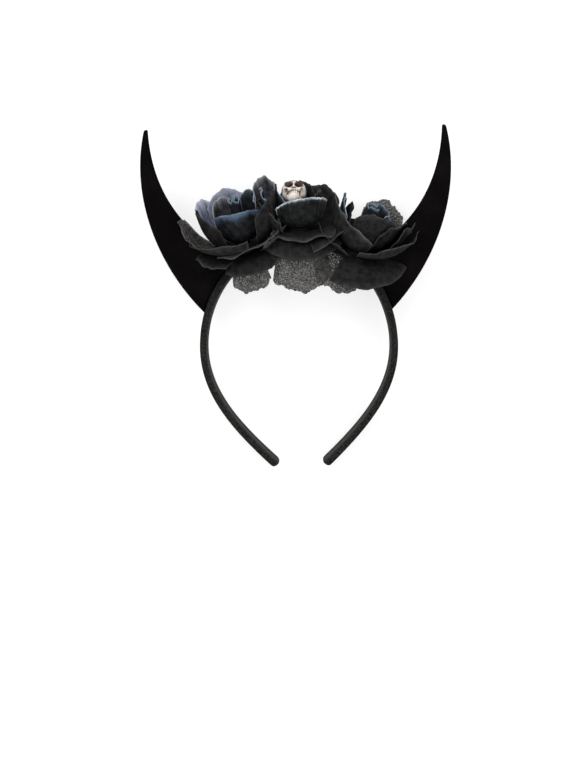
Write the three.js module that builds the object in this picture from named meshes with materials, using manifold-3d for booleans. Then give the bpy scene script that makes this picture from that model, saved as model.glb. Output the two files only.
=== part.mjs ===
// A costume headband: a covered band, two flat horns, three cloth roses and a small skull.
// Millimetres, +Z up. The headband lies on its back, as it does on a table: +X runs across it,
// +Y from the band's open ends to the horns, and its front looks up. The origin is under the middle
// of its box, on the table.
import * as THREE from "three";
import { mergeVertices } from "three/addons/utils/BufferGeometryUtils.js";
import Module from "manifold-3d";

const wasm = await Module();
wasm.setup();

// Driving sizes
const GAP = 0.3; // clearance between pieces that touch
const CLOTH = 1; // wall of every petal
const REST_LEAN = 11; // degrees from the table up to the band's plane

const band = {
  halfWidth: 62.2, // centreline, from the middle to the widest place
  rise: 70.8, // centreline, from the widest place to the crown
  drop: 77.5, // centreline, from the widest place down to the ends
  endHalf: 17.2, // centreline, from the middle to an end
  endAngle: 44, // degrees that an end runs below level
  sideHandle: 30,
  endHandle: 35,
  thickness: 5.4,
  depth: 10,
  corner: 1.9,
};

const horn = {
  baseOuter: 18.4, // degrees on the band's ellipse where the outer edge starts
  baseInner: 53.5, // degrees on the band's ellipse where the inner edge starts
  tipOut: 97.3, // from the middle to the tip
  tipUp: 143.8, // from the widest place of the band to the tip
  tipWidth: 2.4,
  outerHandles: [42, 46],
  innerHandles: [36, 43],
  outerAngles: [45, 103.5], // degrees at the base and at the tip
  innerAngles: [22, 88],
  thickness: 4,
  edge: 0.6,
  turn: 12, // degrees that each plate is turned outward
};

const rose = {
  hubRadius: 4.2,
  footRadius: 2.6,
  footSpread: 0.55, // share of a petal's spread that it has at its foot
  pitch: CLOTH + GAP + 0.6, // from one layer's foot to the next
  firstFoot: 2,
  cupRise: 0.4, // share of the rise that a bowl's upper handle has
  openBy: 0.45, // share of a petal's length by which it has its full spread
  cornerPower: 2.4, // of the curve that rounds a petal's corners
  facing: 0.4, // slope by which a rose opens toward the front
  rollTurns: 1.6,
  rollFlare: 1.2,
  rollFall: 0.1, // shares of the rose's height: the roll's fall and its waves
  rollWave: 0.03,
  rollWaves: 5, // to a turn
};

const skull = {
  width: 16.4,
  length: 20.5, // crown to chin
  height: 14.5, // face to back of the head
  across: -2.5, // centre, from the rose's axis
  up: 28.7, // centre, above the band
  forward: 1.5,
  nod: 22, // degrees that the face is tipped to the front
  socket: 2.6, // radius of an eye socket
  nose: 1.5,
  teeth: 5, // gaps between the teeth
  toothGap: 0.35,
};

// Petals: turn and spread in degrees (0 is the front, 90 the wearer's left side seen from the front),
// reach as a share of the rose's radius, rise as a share of its height, cup from 0 (a dish) to 1 (a bowl),
// lap as the share of the reach by which one side lies outside the other, sag as the share of the
// length that the corners lose, tilt as the share of the height that the rim climbs to the right.
const COLUMNS = ["layer", "turn", "spread", "reach", "rise", "cup", "lap", "sag", "tilt"];

const ROSES = [
  {
    name: "rose_left",
    along: -33,
    lean: 13,
    radius: 34,
    height: 40,
    rollTop: 0.95,
    petals: [
      ["skirt", -1, 29, 0.8, -0.54, 0.66, 0.02, 0.12, 0],
      ["skirt", -54, 28, 1.0, 0.06, 0.5, 0.02, 0.2, 0],
      ["skirt", 10, 42, 0.92, -0.24, 0.62, 0.03, 0.15, 0],
      ["skirt", -150, 34, 1.16, 0.1, 0.55, 0.02, 0.2, 0],
      ["outer", 62, 36, 0.94, 0.36, 0.8, 0.03, 0.12, 0],
      ["outer", -92, 20, 1.2, 0.76, 0.55, 0.03, 0.2, 0],
      ["outer", -40, 46, 1.08, 0.24, 0.7, 0.04, 0.12, 0.14],
      ["outer", 6, 40, 0.92, 0.08, 0.75, 0.03, 0.1, 0.08],
      ["outer", 66, 42, 0.84, 0.92, 0.85, 0.04, 0.12, 0],
      ["outer", -172, 30, 1.2, 0.42, 0.75, 0.03, 0.2, 0],
      ["middle", -162, 36, 0.66, 1.02, 0.75, 0.04, 0.12, 0],
      ["middle", -124, 17, 0.8, 0.96, 0.7, 0.02, 0.1, 0],
      ["middle", -68, 38, 0.76, 0.76, 0.9, 0.04, 0.15, 0],
      ["inner", -4, 62, 0.5, 0.74, 0.95, 0.03, 0.14, 0],
      ["inner", 118, 50, 0.42, 0.96, 0.85, 0.04, 0.15, 0],
      ["inner", -126, 44, 0.44, 0.9, 0.9, 0.04, 0.2, 0],
    ],
  },
  {
    name: "rose_middle",
    along: 1,
    lean: 0,
    radius: 34,
    height: 38,
    rollTop: 0.62,
    petals: [
      ["skirt", 6, 46, 0.8, -0.84, 0.7, 0.02, 0.1, 0],
      ["skirt", 180, 28, 1.12, -0.1, 0.55, 0.02, 0.2, 0],
      ["outer", 6, 52, 0.88, -0.3, 0.75, 0.03, 0.12, 0],
      ["outer", 10, 46, 0.8, 0.1, 0.85, 0.03, 0.1, 0],
      ["outer", -66, 40, 0.76, 0.6, 0.9, 0.03, 0.15, 0],
      ["outer", 58, 42, 1.02, 0.2, 0.85, 0.03, 0.12, 0.16],
      ["outer", 180, 28, 1.18, 0.36, 0.7, 0.03, 0.2, 0],
      ["middle", 8, 58, 0.58, 0.75, 0.95, 0.03, 0.24, 0.04],
      ["middle", -78, 26, 0.7, 0.85, 0.85, 0.03, 0.12, 0],
      ["middle", -120, 34, 0.84, 0.96, 0.75, 0.03, 0.15, 0],
      ["middle", 128, 46, 0.78, 0.76, 0.75, 0.03, 0.15, 0],
      ["inner", -66, 46, 0.44, 0.84, 0.85, 0.03, 0.2, 0],
      ["inner", 70, 46, 0.42, 0.8, 0.85, 0.03, 0.2, 0],
      ["inner", 178, 50, 0.44, 0.9, 0.8, 0.03, 0.15, 0],
    ],
  },
  {
    name: "rose_right",
    along: 36,
    lean: -24,
    radius: 34,
    height: 38,
    rollTop: 0.95,
    petals: [
      ["skirt", -46, 36, 0.96, 0.24, 0.7, 0.03, 0.12, 0],
      ["skirt", 28, 46, 0.96, -0.3, 0.7, 0.02, 0.12, 0.16],
      ["skirt", -8, 26, 0.8, -0.6, 0.7, 0.02, 0.12, 0],
      ["skirt", 150, 32, 1.16, 0.1, 0.55, 0.02, 0.2, 0],
      ["outer", 44, 40, 0.98, 0.44, 0.8, 0.04, 0.12, 0.2],
      ["outer", 88, 34, 0.86, 0.9, 0.85, 0.03, 0.2, 0],
      ["outer", 172, 30, 1.18, 0.42, 0.7, 0.03, 0.2, 0],
      ["outer", -34, 44, 0.74, 0.66, 0.9, 0.03, 0.1, -0.12],
      ["middle", 16, 42, 0.6, 0.86, 0.95, 0.04, 0.15, 0],
      ["middle", 62, 36, 0.7, 0.84, 0.8, 0.04, 0.15, 0],
      ["middle", 140, 40, 0.82, 0.96, 0.75, 0.04, 0.15, 0],
      ["middle", -80, 38, 0.58, 0.9, 0.85, 0.04, 0.15, 0],
      ["inner", 34, 36, 0.46, 0.88, 0.9, 0.04, 0.2, 0],
      ["inner", 146, 48, 0.44, 0.92, 0.8, 0.04, 0.15, 0],
    ],
  },
];

const LAYERS = ["skirt", "outer", "middle", "inner", "bud"];
const BALL_STEPS = [10, 7]; // around and down
const BAND_STEPS = 11; // sections on each quarter of the band
const EDGE_LENGTH = 10; // shorter than any petal is wide
const ROLL_GRID = [11, 2]; // steps around and along
const PETAL_GRID = { skirt: [4, 3], outer: [4, 3], middle: [4, 2], inner: [3, 2] }; // steps across and along

// Materials
const cloth = (color, roughness) => new THREE.MeshStandardMaterial({ color, roughness, metalness: 0 });
const COLORS = { skirt: 0x4a4a4c, outer: 0x2b2b2d, middle: 0x2e3034, inner: 0x4c5c6c, bud: 0x6c7484 };

// Helpers
const rad = THREE.MathUtils.degToRad;
const mix = THREE.MathUtils.lerp;

function toSolid(geometry) {
  const bare = geometry.index ? geometry.clone() : geometry;
  bare.deleteAttribute("normal");
  bare.deleteAttribute("uv");
  const merged = mergeVertices(bare, 1e-5);
  return new wasm.Manifold(
    new wasm.Mesh({
      numProp: 3,
      vertProperties: new Float32Array(merged.attributes.position.array),
      triVerts: new Uint32Array(merged.index.array),
    }),
  );
}

function toGeometry(solid) {
  const mesh = solid.getMesh();
  const geometry = new THREE.BufferGeometry();
  geometry.setAttribute("position", new THREE.BufferAttribute(new Float32Array(mesh.vertProperties), 3));
  geometry.setIndex(new THREE.BufferAttribute(new Uint32Array(mesh.triVerts), 1));
  geometry.computeVertexNormals();
  return geometry;
}

// The largest body of a solid, which drops the crumbs that a cut leaves.
function largest(solid) {
  return solid.decompose().sort((a, b) => b.volume() - a.volume())[0];
}

function gridGeometry(points, quads) {
  const geometry = new THREE.BufferGeometry();
  geometry.setAttribute("position", new THREE.Float32BufferAttribute(points.flatMap((p) => p.toArray()), 3));
  geometry.setIndex(quads.flatMap(([a, b, c, d]) => (d === undefined ? [a, b, c] : [a, b, c, a, c, d])));
  return geometry;
}

// A wall that follows surface(q, p), with q across and p along, both from 0 to 1.
function wall(surface, across, along, thickness) {
  const step = 1e-3;
  const place = (q, p, side) => {
    const alongQ = surface(q + step, p).sub(surface(q - step, p));
    const alongP = surface(q, p + step).sub(surface(q, p - step));
    const normal = alongQ.cross(alongP).normalize();
    return surface(q, p).addScaledVector(normal, (side * thickness) / 2);
  };
  const points = [];
  for (const side of [1, -1]) {
    for (let j = 0; j <= along; j++) {
      for (let i = 0; i <= across; i++) {
        points.push(place(i / across, j / along, side));
      }
    }
  }
  const row = across + 1;
  const sheet = row * (along + 1);
  const quads = [];
  for (let j = 0; j < along; j++) {
    for (let i = 0; i < across; i++) {
      const a = j * row + i;
      quads.push([a, a + 1, a + row + 1, a + row]);
      quads.push([sheet + a, sheet + a + row, sheet + a + row + 1, sheet + a + 1]);
    }
  }
  const rim = [];
  for (let i = 0; i < across; i++) rim.push([i, i + 1]);
  for (let j = 0; j < along; j++) rim.push([j * row + across, (j + 1) * row + across]);
  for (let i = across; i > 0; i--) rim.push([along * row + i, along * row + i - 1]);
  for (let j = along; j > 0; j--) rim.push([j * row, (j - 1) * row]);
  rim.forEach(([a, b]) => quads.push([b, a, sheet + a, sheet + b]));
  return gridGeometry(points, quads);
}

// Band
function bandCentreline() {
  const end = new THREE.Vector2(band.endHalf, -band.drop);
  const back = new THREE.Vector2(Math.cos(rad(band.endAngle)), Math.sin(rad(band.endAngle)));
  const arm = new THREE.CubicBezierCurve(
    new THREE.Vector2(band.halfWidth, 0),
    new THREE.Vector2(band.halfWidth, -band.sideHandle),
    end.clone().addScaledVector(back, band.endHandle),
    end,
  );
  const crown = new THREE.EllipseCurve(0, 0, band.halfWidth, band.rise, Math.PI / 2, 0, true);
  const half = [...crown.getSpacedPoints(BAND_STEPS), ...arm.getSpacedPoints(BAND_STEPS).slice(1)];
  const mirrored = half.slice(1).map((p) => new THREE.Vector2(-p.x, p.y)).reverse();
  return [...mirrored, ...half];
}

function bandSection(thickness, depth) {
  const points = [];
  const r = Math.min(band.corner, thickness / 2 - 0.01);
  const corners = [[1, 1, 0], [-1, 1, 90], [-1, -1, 180], [1, -1, 270]];
  for (const [x, y, from] of corners) {
    for (const turn of [10, 80]) {
      const angle = rad(from + turn);
      const cx = x * (thickness / 2 - r);
      const cy = y * (depth / 2 - r);
      points.push(new THREE.Vector2(cx + r * Math.cos(angle), cy + r * Math.sin(angle)));
    }
  }
  return points;
}

// The band, or with grow above 0 the room that it needs.
function bandGeometry(grow) {
  const line = bandCentreline();
  const section = bandSection(band.thickness + 2 * grow, band.depth + 2 * grow);
  const round = band.depth / 2 + grow;
  const distance = [0];
  line.slice(1).forEach((p, i) => distance.push(distance[i] + p.distanceTo(line[i])));
  const total = distance[distance.length - 1];
  const stations = [0.04, 0.2, 0.45, 0.75].map((share) => share * round);
  const inner = distance.filter((d) => d > round && d < total - round);
  const along = [...stations, round, ...inner, total - round, ...stations.map((d) => total - d).reverse()];
  const at = (d) => {
    const i = Math.max(1, distance.findIndex((v) => v >= d));
    const t = (d - distance[i - 1]) / (distance[i] - distance[i - 1]);
    const direction = line[i].clone().sub(line[i - 1]).normalize();
    return { point: line[i - 1].clone().lerp(line[i], t), direction };
  };
  const points = [];
  for (const d of along) {
    const { point, direction } = at(d);
    const left = Math.min(d, total - d, round);
    const depthShare = Math.sqrt(1 - (1 - left / round) ** 2);
    const thickShare = 0.55 + 0.45 * depthShare;
    for (const s of section) {
      const out = s.x * thickShare;
      points.push(new THREE.Vector3(point.x - direction.y * out, point.y + direction.x * out, s.y * depthShare));
    }
  }
  const ring = section.length;
  const quads = [];
  for (let j = 0; j + 1 < along.length; j++) {
    for (let i = 0; i < ring; i++) {
      const a = j * ring + i;
      const b = j * ring + ((i + 1) % ring);
      quads.push([a, b, b + ring, a + ring]);
    }
  }
  for (let i = 1; i + 1 < ring; i++) {
    const last = (along.length - 1) * ring;
    quads.push([0, i + 1, i]);
    quads.push([last, last + i, last + i + 1]);
  }
  return gridGeometry(points, quads);
}

const bandRoom = toSolid(bandGeometry(GAP));

// A point on the band's outer face, at an angle on its ellipse or at a place across it.
const outerHalf = band.halfWidth + band.thickness / 2;
const outerRise = band.rise + band.thickness / 2;
const onBandAt = (degrees) => new THREE.Vector2(outerHalf * Math.cos(rad(degrees)), outerRise * Math.sin(rad(degrees)));
const onBandAcross = (x) => new THREE.Vector2(x, outerRise * Math.sqrt(1 - (x / outerHalf) ** 2));

// Horns
function hornSolid(side, grow) {
  const outer = onBandAt(horn.baseOuter);
  const inner = onBandAt(horn.baseInner);
  const pivot = outer.clone().lerp(inner, 0.5);
  const toward = (from, degrees, length) =>
    from.clone().add(new THREE.Vector2(Math.cos(rad(degrees)), Math.sin(rad(degrees))).multiplyScalar(length));
  const tipOuter = new THREE.Vector2(horn.tipOut + horn.tipWidth / 2, horn.tipUp);
  const tipInner = new THREE.Vector2(horn.tipOut - horn.tipWidth / 2, horn.tipUp);
  const flat = (p) => [(p.x - pivot.x) / Math.cos(rad(horn.turn)), p.y - pivot.y];
  const root = pivot.clone().multiplyScalar(1 - band.thickness / 2 / pivot.length());
  const shape = new THREE.Shape();
  shape.moveTo(...flat(outer));
  shape.bezierCurveTo(
    ...flat(toward(outer, horn.outerAngles[0], horn.outerHandles[0])),
    ...flat(toward(tipOuter, horn.outerAngles[1] + 180, horn.outerHandles[1])),
    ...flat(tipOuter),
  );
  shape.lineTo(...flat(tipInner));
  shape.bezierCurveTo(
    ...flat(toward(tipInner, horn.innerAngles[1] + 180, horn.innerHandles[1])),
    ...flat(toward(inner, horn.innerAngles[0], horn.innerHandles[0])),
    ...flat(inner),
  );
  shape.lineTo(...flat(root));
  const geometry = new THREE.ExtrudeGeometry(shape, {
    depth: horn.thickness - 2 * horn.edge,
    curveSegments: 12,
    bevelEnabled: true,
    bevelThickness: horn.edge + grow,
    bevelSize: horn.edge + grow,
    bevelOffset: -horn.edge,
    bevelSegments: 1,
  });
  geometry.translate(0, 0, horn.edge - horn.thickness / 2);
  geometry.rotateY(rad(horn.turn));
  geometry.translate(pivot.x, pivot.y, 0);
  let solid = toSolid(geometry);
  if (side < 0) solid = solid.mirror([1, 0, 0]);
  return solid;
}

// Roses
function roseFrame(spec) {
  const seat = onBandAcross(spec.along);
  return new THREE.Matrix4()
    .makeTranslation(seat.x, seat.y, 0)
    .multiply(new THREE.Matrix4().makeRotationZ(rad(spec.lean)));
}

const lean = rad(REST_LEAN);
const overTable = (y, z) => y * Math.sin(lean) + z * Math.cos(lean);

// The band's ends stand on the table.
function bandLowest() {
  const place = bandGeometry(0).attributes.position;
  let low = 0;
  for (let i = 0; i < place.count; i++) low = Math.min(low, overTable(place.getY(i), place.getZ(i)));
  return low;
}
const liftOffTable = -bandLowest();

// Cloth that would pass through the table lies flat on it.
function keepAboveTable(point, clear) {
  const lift = Math.max(0, clear - overTable(point.y, point.z) - liftOffTable);
  point.y += lift * Math.sin(lean);
  point.z += lift * Math.cos(lean);
  return point;
}

function petalSurface(spec, petal, foot, frame) {
  const reach = petal.reach * spec.radius;
  const rise = petal.rise * spec.height;
  const start = rose.footRadius;
  const line = (share) => [mix(start, reach, share), mix(foot, rise, share)];
  const [r1, h1] = line(1 / 3);
  const [r2, h2] = line(2 / 3);
  const p1 = [mix(r1, reach, petal.cup), mix(h1, foot, petal.cup)];
  const p2 = [mix(r2, reach, petal.cup), mix(h2, mix(foot, rise, rose.cupRise), petal.cup)];
  const bezier = (a, b, c, d, t) =>
    a * (1 - t) ** 3 + 3 * b * t * (1 - t) ** 2 + 3 * c * t * t * (1 - t) + d * t ** 3;
  return (q, p) => {
    const across = 2 * q - 1;
    const t = p * (1 - petal.sag * Math.abs(across) ** rose.cornerPower);
    const r = bezier(start, p1[0], p2[0], reach, t) * (1 + petal.lap * across * p);
    const width = mix(rose.footSpread, 1, Math.sin((Math.PI / 2) * Math.min(1, p / rose.openBy)));
    const angle = rad(petal.turn + petal.spread * across * width);
    const forward = (r - start) * (Math.cos(angle) - Math.cos(rad(petal.turn)));
    const climb = petal.tilt * spec.height * across * p * p - rose.facing * forward;
    const h = bezier(foot, p1[1], p2[1], rise, t) + climb;
    return new THREE.Vector3(r * Math.sin(angle), h, r * Math.cos(angle)).applyMatrix4(frame);
  };
}

function layTable(geometry, grow) {
  const place = geometry.attributes.position;
  const half = place.count / 2;
  const point = new THREE.Vector3();
  for (let i = 0; i < place.count; i++) {
    point.fromBufferAttribute(place, i);
    keepAboveTable(point, i < half ? -grow : CLOTH + grow);
    place.setXYZ(i, ...point);
  }
  return geometry;
}

function disc(radius, low, high, frame) {
  const geometry = new THREE.CylinderGeometry(radius, radius, high - low, 12);
  geometry.translate(0, (low + high) / 2, 0);
  geometry.applyMatrix4(frame);
  return toSolid(geometry);
}

function budSurface(spec, foot, frame) {
  const turns = rose.rollTurns;
  const pitch = CLOTH + 2 * GAP;
  return (q, p) => {
    const angle = 2 * Math.PI * turns * q;
    const r = rose.footRadius + pitch * turns * q + rose.rollFlare * p * p;
    const wave = rose.rollWave * Math.sin(rose.rollWaves * angle);
    const top = spec.height * (spec.rollTop - rose.rollFall * q + wave);
    return new THREE.Vector3(r * Math.sin(angle), mix(foot, top, p), r * Math.cos(angle)).applyMatrix4(frame);
  };
}

// The same surface with its edges moved out, for the room that a petal needs.
function widened(surface, grow) {
  const spare = grow / EDGE_LENGTH;
  return (q, p) => surface(0.5 + (q - 0.5) * (1 + 2 * spare), p * (1 + spare));
}

function layerSolid(spec, layer, grow) {
  const frame = roseFrame(spec);
  const level = LAYERS.indexOf(layer);
  const foot = rose.firstFoot + level * rose.pitch;
  const thickness = CLOTH + 2 * grow;
  const low = level === 0 ? -band.thickness / 2 : foot - thickness / 2;
  let solid = disc(rose.hubRadius + grow, low, foot + thickness / 2, frame);
  if (layer === "bud") {
    const roll = wall(widened(budSurface(spec, foot, frame), grow), ...ROLL_GRID, thickness);
    return solid.add(toSolid(roll));
  }
  for (const row of spec.petals) {
    const petal = Object.fromEntries(COLUMNS.map((name, i) => [name, row[i]]));
    if (petal.layer !== layer) continue;
    const surface = widened(petalSurface(spec, petal, foot, frame), grow);
    const geometry = wall(surface, ...PETAL_GRID[layer], thickness);
    solid = solid.add(toSolid(layTable(geometry, grow)));
  }
  return solid;
}

// Skull: its own up points to the back of the rose and its face points out along the rose.
function ball(radii, centre) {
  const geometry = new THREE.SphereGeometry(1, ...BALL_STEPS);
  geometry.scale(...radii);
  geometry.translate(...centre);
  return geometry;
}

function skullSolid(grow) {
  const { width, length, height } = skull;
  const face = new THREE.Matrix4()
    .makeTranslation(skull.across, skull.up, skull.forward)
    .multiply(new THREE.Matrix4().makeRotationX(-Math.PI / 2 + rad(skull.nod)));
  const place = roseFrame(ROSES[1]).multiply(face);
  const put = (geometry) => toSolid(geometry.applyMatrix4(place));
  const head = ball([width / 2 + grow, 0.41 * length + grow, height / 2 + grow], [0, 0.09 * length, 0]);
  const jaw = ball([0.33 * width + grow, 0.28 * length + grow, 0.4 * height + grow], [0, -0.22 * length, 0.08 * height]);
  let solid = put(head).add(put(jaw));
  if (grow > 0) return solid;
  for (const side of [-1, 1]) {
    const centre = [0.21 * width * side, 0.02 * length, 0.44 * height];
    solid = solid.subtract(put(ball([skull.socket, skull.socket, skull.socket], centre)));
  }
  const nose = new THREE.CylinderGeometry(0.1, skull.nose, 2 * skull.nose, 3);
  nose.translate(0, -0.12 * length, 0.5 * height);
  solid = solid.subtract(put(nose));
  const mouth = [0, -0.3 * length, 0.5 * height];
  const line = new THREE.BoxGeometry(0.5 * width, skull.toothGap, 0.2 * height);
  solid = solid.subtract(put(line.translate(...mouth)));
  for (let i = 0; i < skull.teeth; i++) {
    const slot = new THREE.BoxGeometry(skull.toothGap, 0.14 * length, 0.2 * height);
    const x = (0.42 * width * (i - (skull.teeth - 1) / 2)) / skull.teeth;
    solid = solid.subtract(put(slot.translate(x, mouth[1], mouth[2])));
  }
  return solid;
}

// Assembly
const lying = new THREE.Group();
lying.rotation.x = lean;
lying.position.z = liftOffTable;

function addPiece(name, solid, material) {
  const mesh = new THREE.Mesh(toGeometry(solid), material);
  mesh.name = name;
  lying.add(mesh);
}

addPiece("headband", toSolid(bandGeometry(0)), cloth(0x232323, 0.9));
const hornRooms = [];
for (const [name, side] of [["horn_left", -1], ["horn_right", 1]]) {
  addPiece(name, largest(hornSolid(side, 0).subtract(bandRoom)), cloth(0x0c0b0c, 1));
  hornRooms.push(hornSolid(side, GAP));
}

addPiece("skull", skullSolid(0), cloth(0xc8bcae, 0.5));

const taken = [bandRoom, ...hornRooms, skullSolid(GAP)];
for (const spec of ROSES) {
  for (const layer of [...LAYERS].reverse()) {
    let solid = layerSolid(spec, layer, 0);
    for (const room of taken) solid = solid.subtract(room);
    solid = largest(solid);
    addPiece(`${spec.name}_${layer}`, solid, cloth(COLORS[layer], 0.85));
    taken.push(layerSolid(spec, layer, GAP).add(solid));
  }
}

const object = new THREE.Group();
object.add(lying);
const middle = new THREE.Box3().setFromObject(object).getCenter(new THREE.Vector3());
lying.position.x = -middle.x;
lying.position.y = -middle.y;

export default object;
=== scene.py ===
# A costume headband that lies on its back on a pale floor: a covered band, two flat horns,
# three cloth roses and a small skull. Sizes are in millimetres and turn to metres in each mesh.
import math

import bmesh
import bpy
import numpy as np
from mathutils import Matrix, Vector


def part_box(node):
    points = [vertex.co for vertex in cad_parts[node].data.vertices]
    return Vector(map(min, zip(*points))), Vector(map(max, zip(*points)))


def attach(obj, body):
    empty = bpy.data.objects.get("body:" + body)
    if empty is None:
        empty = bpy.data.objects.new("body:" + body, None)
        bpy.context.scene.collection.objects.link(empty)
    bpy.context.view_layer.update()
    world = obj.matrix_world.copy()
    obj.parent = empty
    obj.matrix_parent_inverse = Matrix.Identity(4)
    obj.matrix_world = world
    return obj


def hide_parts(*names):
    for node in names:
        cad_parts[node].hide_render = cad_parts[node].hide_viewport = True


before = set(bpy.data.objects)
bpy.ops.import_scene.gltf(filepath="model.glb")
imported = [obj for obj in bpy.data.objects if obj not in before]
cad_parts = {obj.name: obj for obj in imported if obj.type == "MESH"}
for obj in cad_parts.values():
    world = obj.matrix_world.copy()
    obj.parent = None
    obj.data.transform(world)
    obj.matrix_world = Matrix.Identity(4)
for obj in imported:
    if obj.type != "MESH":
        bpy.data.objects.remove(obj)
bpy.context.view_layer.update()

MM = 0.001
TAU = 2 * math.pi

# Sizes shared with the solids
GAP = 0.3
LEAN = math.radians(11)  # from the table up to the band's plane
BAND = {
    "half_width": 62.2,
    "rise": 70.8,
    "drop": 77.5,
    "end_half": 17.2,
    "end_angle": 44,
    "side_handle": 30,
    "end_handle": 35,
    "thickness": 5.4,
    "depth": 10,
    "corner": 2.1,
}
HORN = {
    "base_outer": 18.4,
    "base_inner": 53.5,
    "tip_out": 97.3,
    "tip_up": 143.8,
    "tip_width": 2.4,
    "outer_handles": (42, 46),
    "inner_handles": (36, 43),
    "outer_angles": (45, 103.5),
    "inner_angles": (22, 88),
    "thickness": 4,
    "edge": 1.1,
    "turn": 12,
}
ROSE = {
    "hub_radius": 4.2,
    "foot_radius": 2.6,
    "foot_spread": 0.55,
    "pitch": 1.9,
    "first_foot": 2,
    "cup_rise": 0.4,
    "open_by": 0.45,
    "corner": 2.4,
    "facing": 0.4,
    "roll_turns": 1.6,
    "roll_pitch": 1.6,
    "roll_flare": 1.2,
}
SKULL = {
    "width": 16.4,
    "length": 20.5,
    "height": 14.5,
    "across": -2.5,
    "up": 28.7,
    "forward": 1.5,
    "nod": 22,
}

# Sizes that only the finish has
COVER = {
    "tail": 2.5,  # how far the cloth reaches past the band's ends
    "step": 1.2,
    "line_steps": 160,
    "cap_rings": 10,
    "first_ring": 0.12,  # radians round the end, which is left open and capped
    "look": 0.3,  # how far to each side the band's direction is taken
    "corner_steps": 6,
    "least_end": 0.3,  # share of the thickness that the very end keeps
    "thicker": 1.05,
    "end_thicker": 0.13,  # added to that towards the ends
    "highlight_in": 0.5,  # from the inner side to the middle of the pale line, a painted highlight on the upper inner corner
    "highlight_width": 0.7,
    "highlight_strength": 0.7,
}
FLOCK = {
    "steps": (25, 120),  # across and along
    "length": 130,  # of a horn, along its middle
    "off_band": 0.1,
    "least_tip": 0.12,  # share of the width that the very tip keeps
    "tip_inset": 0.35,  # how far in from the edge the very tip counts, as a share of the edge's round
    "least_half": 0.25,  # half the thickness at the edges
}
PETAL = {
    "steps": (56, 34),  # across and along
    "row_power": 0.85,  # under 1 sets the rows closer at the rim
    "thickness": 0.36,
    "notch": 0.022,  # slow waves of the cut rim, as a share of the length
    "fray": 0.007,  # quick ones
    "most_out": 0.03,  # the furthest that a wave stands out
    "roll_from": 0.8,  # share of the length where the lip begins
    "roll_down": 0.9,  # how far the lip drops, as a share of how far it rolls out
    "dent": 0.5,  # depth of the broad dents in its face
    "skew": 0.02,  # how far the pleats wander, as a share of the width
    "line_width": 0.9,  # the pale line along the rim
    "side_width": 0.6,  # the same along the sides
    "side_shade": 0.7,
    "side_from": 0.4,  # share of the length where the line along the sides begins
    "side_over": 0.3,  # share over which it grows to its full shade
    "patchy": 0.5,  # how much the fade behind the rim varies in width
}
BUD = {
    "steps": (150, 26),  # along the strip and up it
    "foot_share": 0.6,  # of a petal's foot radius
    "wobble": 0.25,
    "step_down": 0.1,  # how much lower the outer end of the strip is, as a share of the height
    "notch": 0.03,
    "rim_from": 0.9,  # share of the height where the pale rim begins
    "rim_shade": 0.7,
}
DISC = {"round_over": 0.4, "steps": 28}
CALYX_RADIUS = 9.6  # wider than in the solids, to close the holes between the petals' feet: a real felt calyx, widened so that its dark stands in there for painted shade between the petals

# Each layer of a rose from the table up, with its material slot and the radius of its disc
LAYERS = {
    "skirt": ("petal_sheer", CALYX_RADIUS),
    "outer": ("petal_dark", CALYX_RADIUS),
    "middle": ("petal_dark", CALYX_RADIUS),
    "inner": ("petal_blue", ROSE["hub_radius"]),
    "bud": ("petal_blue", ROSE["hub_radius"]),
}

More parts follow.
